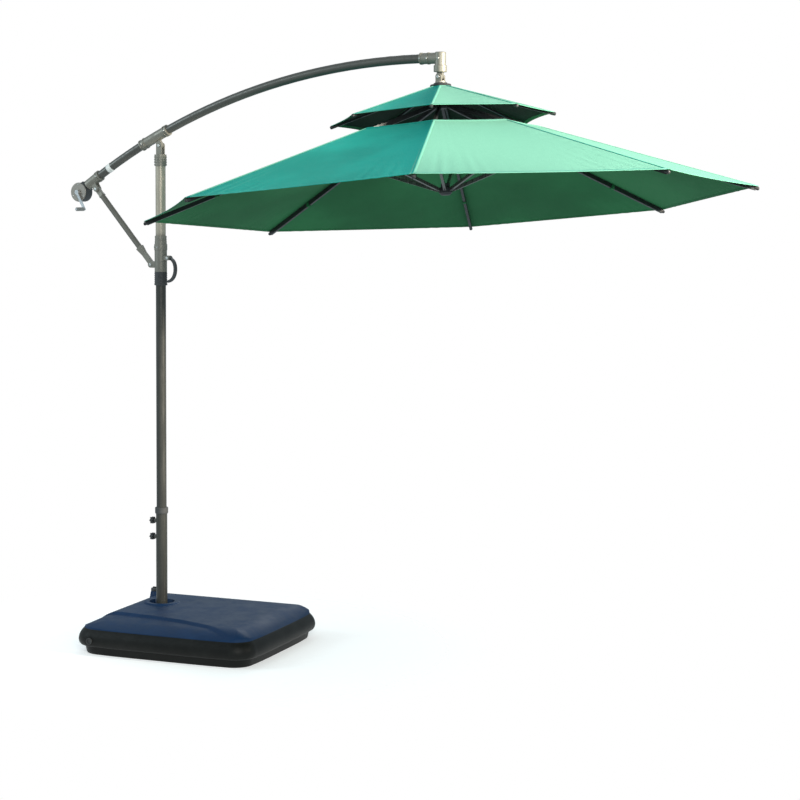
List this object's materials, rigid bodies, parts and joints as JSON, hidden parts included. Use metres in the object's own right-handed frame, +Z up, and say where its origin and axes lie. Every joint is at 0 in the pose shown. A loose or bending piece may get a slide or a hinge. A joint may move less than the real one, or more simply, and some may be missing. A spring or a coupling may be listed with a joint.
{
  "type": "cantilever patio umbrella",
  "caption": "Cantilever patio umbrella with a two-tier eight-sided canopy, curved arm, folding strut, crank winch and a water-filled base tank",
  "frame": {"origin": "on the ground under the pole's axis, in the plane of the tank's flat underside", "axes": "+Z up, +X from the pole along the arm towards the canopy, +Y to the left of the arm"},
  "size_m": [3.3026, 2.4959, 2.764],
  "materials": {
    "tank_plastic": "satin",
    "ballast": "gloss",
    "steel_bronze": "satin",
    "cast_grey": "satin",
    "steel_plain": "satin",
    "chrome_parts": "polished",
    "black_plastic": "matte",
    "charcoal_plastic": "matte",
    "rib_paint": "satin",
    "canopy_cloth": "matte"
  },
  "bodies": {
    "root": {"base_tank": "tank_plastic", "water_ballast": "ballast", "base_plate": "steel_bronze", "plate_bolts": "steel_plain", "base_tube": "steel_bronze", "tube_collar": "charcoal_plastic"},
    "fill_cap": {"fill_cap": "black_plastic"},
    "thumb_screw_lower": {"thumb_screw_lower": "black_plastic"},
    "thumb_screw_upper": {"thumb_screw_upper": "black_plastic"},
    "pole": {"pole_tube": "steel_bronze", "pole_bracket": "cast_grey"},
    "arm": {"arm_tube": "rib_paint", "pivot_sleeve": "cast_grey", "winch_clamp": "cast_grey", "winch_housing": "charcoal_plastic", "winch_cover": "charcoal_plastic", "elbow": "cast_grey", "hanger_stem": "cast_grey", "arm_bolts": "steel_plain"},
    "crank": {"winch_spool": "black_plastic", "crank_arm": "chrome_parts"},
    "crank_knob": {"crank_knob": "black_plastic"},
    "strut": {"strut_tube": "steel_bronze", "strut_top_end": "cast_grey", "strut_bottom_end": "cast_grey"},
    "slider": {"slider_body": "cast_grey", "slider_collar": "cast_grey", "slider_grip": "charcoal_plastic", "slider_bolts": "steel_plain"},
    "release_lever": {"release_lever": "charcoal_plastic"},
    "canopy": {"canopy_hub": "black_plastic", "crown_disc": "black_plastic", "hanger_fork": "cast_grey", "main_canopy": "canopy_cloth", "top_canopy": "canopy_cloth"},
    "runner": {"runner": "charcoal_plastic"},
    "rib_1": {"rib_1": "rib_paint"},
    "top_rib_1": {"top_rib_1": "rib_paint"},
    "stretcher_1": {"stretcher_1": "rib_paint"},
    "rib_2": {"rib_2": "rib_paint"},
    "top_rib_2": {"top_rib_2": "rib_paint"},
    "stretcher_2": {"stretcher_2": "rib_paint"},
    "rib_3": {"rib_3": "rib_paint"},
    "top_rib_3": {"top_rib_3": "rib_paint"},
    "stretcher_3": {"stretcher_3": "rib_paint"},
    "rib_4": {"rib_4": "rib_paint"},
    "top_rib_4": {"top_rib_4": "rib_paint"},
    "stretcher_4": {"stretcher_4": "rib_paint"},
    "rib_5": {"rib_5": "rib_paint"},
    "top_rib_5": {"top_rib_5": "rib_paint"},
    "stretcher_5": {"stretcher_5": "rib_paint"},
    "rib_6": {"rib_6": "rib_paint"},
    "top_rib_6": {"top_rib_6": "rib_paint"},
    "stretcher_6": {"stretcher_6": "rib_paint"},
    "rib_7": {"rib_7": "rib_paint"},
    "top_rib_7": {"top_rib_7": "rib_paint"},
    "stretcher_7": {"stretcher_7": "rib_paint"},
    "rib_8": {"rib_8": "rib_paint"},
    "top_rib_8": {"top_rib_8": "rib_paint"},
    "stretcher_8": {"stretcher_8": "rib_paint"}
  },
  "joints": [
    {"name": "fill_cap_turn", "type": "hinge", "parent": "root", "child": "fill_cap", "pos_m": [-0.1749, 0.20263, 0.165], "axis": [0, 0, 1], "range_deg": [0, 540]},
    {"name": "thumb_screw_lower_turn", "type": "hinge", "parent": "root", "child": "thumb_screw_lower", "pos_m": [-0.03, 0, 0.484], "axis": [-1, 0, 0], "continuous": true},
    {"name": "thumb_screw_upper_turn", "type": "hinge", "parent": "root", "child": "thumb_screw_upper", "pos_m": [-0.03, 0, 0.562], "axis": [-1, 0, 0], "continuous": true},
    {"name": "pole_turn", "type": "hinge", "parent": "root", "child": "pole", "pos_m": [0, 0, 0.3], "axis": [0, 0, 1], "continuous": true},
    {"name": "arm_fold", "type": "hinge", "parent": "pole", "child": "arm", "pos_m": [0, 0, 2.358], "axis": [0, -1, 0], "range_deg": [0, 44]},
    {"name": "strut_pivot", "type": "hinge", "parent": "arm", "child": "strut", "pos_m": [-0.372, 0, 2.15], "axis": [0, -1, 0], "range_deg": [-77.45, 0]},
    {"name": "slider_slide", "type": "slide", "parent": "pole", "child": "slider", "axis": [0, 0, 1], "range_m": [-0.31872, 0]},
    {"name": "release_lever_pull", "type": "hinge", "parent": "slider", "child": "release_lever", "pos_m": [0.047, 0, 1.828], "axis": [0, -1, 0], "range_deg": [0, 18], "stiffness_Nm_per_rad": 0.6, "springref_deg": -11.46},
    {"name": "canopy_hang", "type": "hinge", "parent": "arm", "child": "canopy", "pos_m": [1.495, 0, 2.656], "axis": [0, -1, 0], "range_deg": [-44.01, 0]},
    {"name": "canopy_close", "type": "slide", "parent": "canopy", "child": "runner", "axis": [0.0976, -0.0608, -0.9934], "range_m": [0, 0.68113], "deforming": ["main_canopy", "top_canopy"]},
    {"name": "rib_1_fold", "type": "hinge", "parent": "canopy", "child": "rib_1", "pos_m": [1.53934, 0.00599, 2.53456], "axis": [-0.3809, 0.9199, -0.0937], "range_deg": [0, 68.01]},
    {"name": "top_rib_1_fold", "type": "hinge", "parent": "canopy", "child": "top_rib_1", "pos_m": [1.53222, 0.01043, 2.60709], "axis": [-0.3809, 0.9199, -0.0937], "range_deg": [0, 60.01]},
    {"name": "stretcher_1_fold", "type": "hinge", "parent": "rib_1", "child": "stretcher_1", "pos_m": [2.01257, 0.18575, 2.37576], "axis": [-0.3809, 0.9199, -0.0937], "range_deg": [-138.05, 0]},
    {"name": "rib_2_fold", "type": "hinge", "parent": "canopy", "child": "rib_2", "pos_m": [1.52049, 0.02479, 2.53155], "axis": [-0.9195, 0.3765, -0.1133], "range_deg": [0, 68.01]},
    {"name": "top_rib_2_fold", "type": "hinge", "parent": "canopy", "child": "top_rib_2", "pos_m": [1.51336, 0.02922, 2.60408], "axis": [-0.9195, 0.3765, -0.1133], "range_deg": [0, 60.01]},
    {"name": "stretcher_2_fold", "type": "hinge", "parent": "rib_2", "child": "stretcher_2", "pos_m": [1.72754, 0.46991, 2.33038], "axis": [-0.9195, 0.3765, -0.1133], "range_deg": [-138.05, 0]},
    {"name": "rib_3_fold", "type": "hinge", "parent": "canopy", "child": "rib_3", "pos_m": [1.49383, 0.02463, 2.52895], "axis": [-0.9195, -0.3875, -0.0666], "range_deg": [0, 68.01]},
    {"name": "top_rib_3_fold", "type": "hinge", "parent": "canopy", "child": "top_rib_3", "pos_m": [1.4867, 0.02906, 2.60148], "axis": [-0.9195, -0.3875, -0.0666], "range_deg": [0, 60.01]},
    {"name": "stretcher_3_fold", "type": "hinge", "parent": "rib_3", "child": "stretcher_3", "pos_m": [1.32445, 0.46749, 2.29093], "axis": [-0.9195, -0.3875, -0.0666], "range_deg": [-138.05, 0]},
    {"name": "rib_4_fold", "type": "hinge", "parent": "canopy", "child": "rib_4", "pos_m": [1.47498, 0.00561, 2.52826], "axis": [-0.3809, -0.9244, 0.0191], "range_deg": [0, 68.01]},
    {"name": "top_rib_4_fold", "type": "hinge", "parent": "canopy", "child": "top_rib_4", "pos_m": [1.46785, 0.01004, 2.60079], "axis": [-0.3809, -0.9244, 0.0191], "range_deg": [0, 60.01]},
    {"name": "stretcher_4_fold", "type": "hinge", "parent": "rib_4", "child": "stretcher_4", "pos_m": [1.03942, 0.17993, 2.28052], "axis": [-0.3809, -0.9244, 0.0191], "range_deg": [-138.05, 0]},
    {"name": "rib_5_fold", "type": "hinge", "parent": "canopy", "child": "rib_5", "pos_m": [1.47498, -0.02113, 2.52989], "axis": [0.3809, -0.9199, 0.0937], "range_deg": [0, 68.01]},
    {"name": "top_rib_5_fold", "type": "hinge", "parent": "canopy", "child": "top_rib_5", "pos_m": [1.46785, -0.0167, 2.60242], "axis": [0.3809, -0.9199, 0.0937], "range_deg": [0, 60.01]},
    {"name": "stretcher_5_fold", "type": "hinge", "parent": "rib_5", "child": "stretcher_5", "pos_m": [1.03942, -0.22434, 2.30524], "axis": [0.3809, -0.9199, 0.0937], "range_deg": [-138.05, 0]},
    {"name": "rib_6_fold", "type": "hinge", "parent": "canopy", "child": "rib_6", "pos_m": [1.49383, -0.03993, 2.53289], "axis": [0.9195, -0.3765, 0.1133], "range_deg": [0, 68.01]},
    {"name": "top_rib_6_fold", "type": "hinge", "parent": "canopy", "child": "top_rib_6", "pos_m": [1.4867, -0.03549, 2.60542], "axis": [0.9195, -0.3765, 0.1133], "range_deg": [0, 60.01]},
    {"name": "stretcher_6_fold", "type": "hinge", "parent": "rib_6", "child": "stretcher_6", "pos_m": [1.32445, -0.5085, 2.35062], "axis": [0.9195, -0.3765, 0.1133], "range_deg": [-138.05, 0]},
    {"name": "rib_7_fold", "type": "hinge", "parent": "canopy", "child": "rib_7", "pos_m": [1.52049, -0.03977, 2.5355], "axis": [0.9195, 0.3875, 0.0666], "range_deg": [0, 68.01]},
    {"name": "top_rib_7_fold", "type": "hinge", "parent": "canopy", "child": "top_rib_7", "pos_m": [1.51336, -0.03533, 2.60803], "axis": [0.9195, 0.3875, 0.0666], "range_deg": [0, 60.01]},
    {"name": "stretcher_7_fold", "type": "hinge", "parent": "rib_7", "child": "stretcher_7", "pos_m": [1.72754, -0.50609, 2.39007], "axis": [0.9195, 0.3875, 0.0666], "range_deg": [-138.05, 0]},
    {"name": "rib_8_fold", "type": "hinge", "parent": "canopy", "child": "rib_8", "pos_m": [1.53934, -0.02075, 2.53619], "axis": [0.3809, 0.9244, -0.0191], "range_deg": [0, 68.01]},
    {"name": "top_rib_8_fold", "type": "hinge", "parent": "canopy", "child": "top_rib_8", "pos_m": [1.53222, -0.01631, 2.60872], "axis": [0.3809, 0.9244, -0.0191], "range_deg": [0, 60.01]},
    {"name": "stretcher_8_fold", "type": "hinge", "parent": "rib_8", "child": "stretcher_8", "pos_m": [2.01257, -0.21852, 2.40048], "axis": [0.3809, 0.9244, -0.0191], "range_deg": [-138.05, 0]},
    {"name": "crank_turn", "type": "hinge", "parent": "arm", "child": "crank", "pos_m": [-0.466, 0, 2.134], "axis": [0, 1, 0], "range_deg": [0, 1951.8]},
    {"name": "crank_knob_spin", "type": "hinge", "parent": "crank", "child": "crank_knob", "pos_m": [-0.422, -0.07, 2.053], "axis": [0, 1, 0], "continuous": true}
  ],
  "couplings": [
    {"joint": "strut_pivot", "follows": "arm_fold", "ratio": -1.7599},
    {"joint": "slider_slide", "follows": "arm_fold", "m_per_rad": -0.41501},
    {"joint": "canopy_hang", "follows": "arm_fold", "ratio": -1},
    {"joint": "rib_1_fold", "follows": "canopy_close", "rad_per_m": 1.7424},
    {"joint": "top_rib_1_fold", "follows": "canopy_close", "rad_per_m": 1.5374},
    {"joint": "stretcher_1_fold", "follows": "canopy_close", "rad_per_m": -3.5372},
    {"joint": "rib_2_fold", "follows": "canopy_close", "rad_per_m": 1.7424},
    {"joint": "top_rib_2_fold", "follows": "canopy_close", "rad_per_m": 1.5374},
    {"joint": "stretcher_2_fold", "follows": "canopy_close", "rad_per_m": -3.5372},
    {"joint": "rib_3_fold", "follows": "canopy_close", "rad_per_m": 1.7424},
    {"joint": "top_rib_3_fold", "follows": "canopy_close", "rad_per_m": 1.5374},
    {"joint": "stretcher_3_fold", "follows": "canopy_close", "rad_per_m": -3.5372},
    {"joint": "rib_4_fold", "follows": "canopy_close", "rad_per_m": 1.7424},
    {"joint": "top_rib_4_fold", "follows": "canopy_close", "rad_per_m": 1.5374},
    {"joint": "stretcher_4_fold", "follows": "canopy_close", "rad_per_m": -3.5372},
    {"joint": "rib_5_fold", "follows": "canopy_close", "rad_per_m": 1.7424},
    {"joint": "top_rib_5_fold", "follows": "canopy_close", "rad_per_m": 1.5374},
    {"joint": "stretcher_5_fold", "follows": "canopy_close", "rad_per_m": -3.5372},
    {"joint": "rib_6_fold", "follows": "canopy_close", "rad_per_m": 1.7424},
    {"joint": "top_rib_6_fold", "follows": "canopy_close", "rad_per_m": 1.5374},
    {"joint": "stretcher_6_fold", "follows": "canopy_close", "rad_per_m": -3.5372},
    {"joint": "rib_7_fold", "follows": "canopy_close", "rad_per_m": 1.7424},
    {"joint": "top_rib_7_fold", "follows": "canopy_close", "rad_per_m": 1.5374},
    {"joint": "stretcher_7_fold", "follows": "canopy_close", "rad_per_m": -3.5372},
    {"joint": "rib_8_fold", "follows": "canopy_close", "rad_per_m": 1.7424},
    {"joint": "top_rib_8_fold", "follows": "canopy_close", "rad_per_m": 1.5374},
    {"joint": "stretcher_8_fold", "follows": "canopy_close", "rad_per_m": -3.5372},
    {"joint": "crank_turn", "follows": "canopy_close", "rad_per_m": 50}
  ]
}
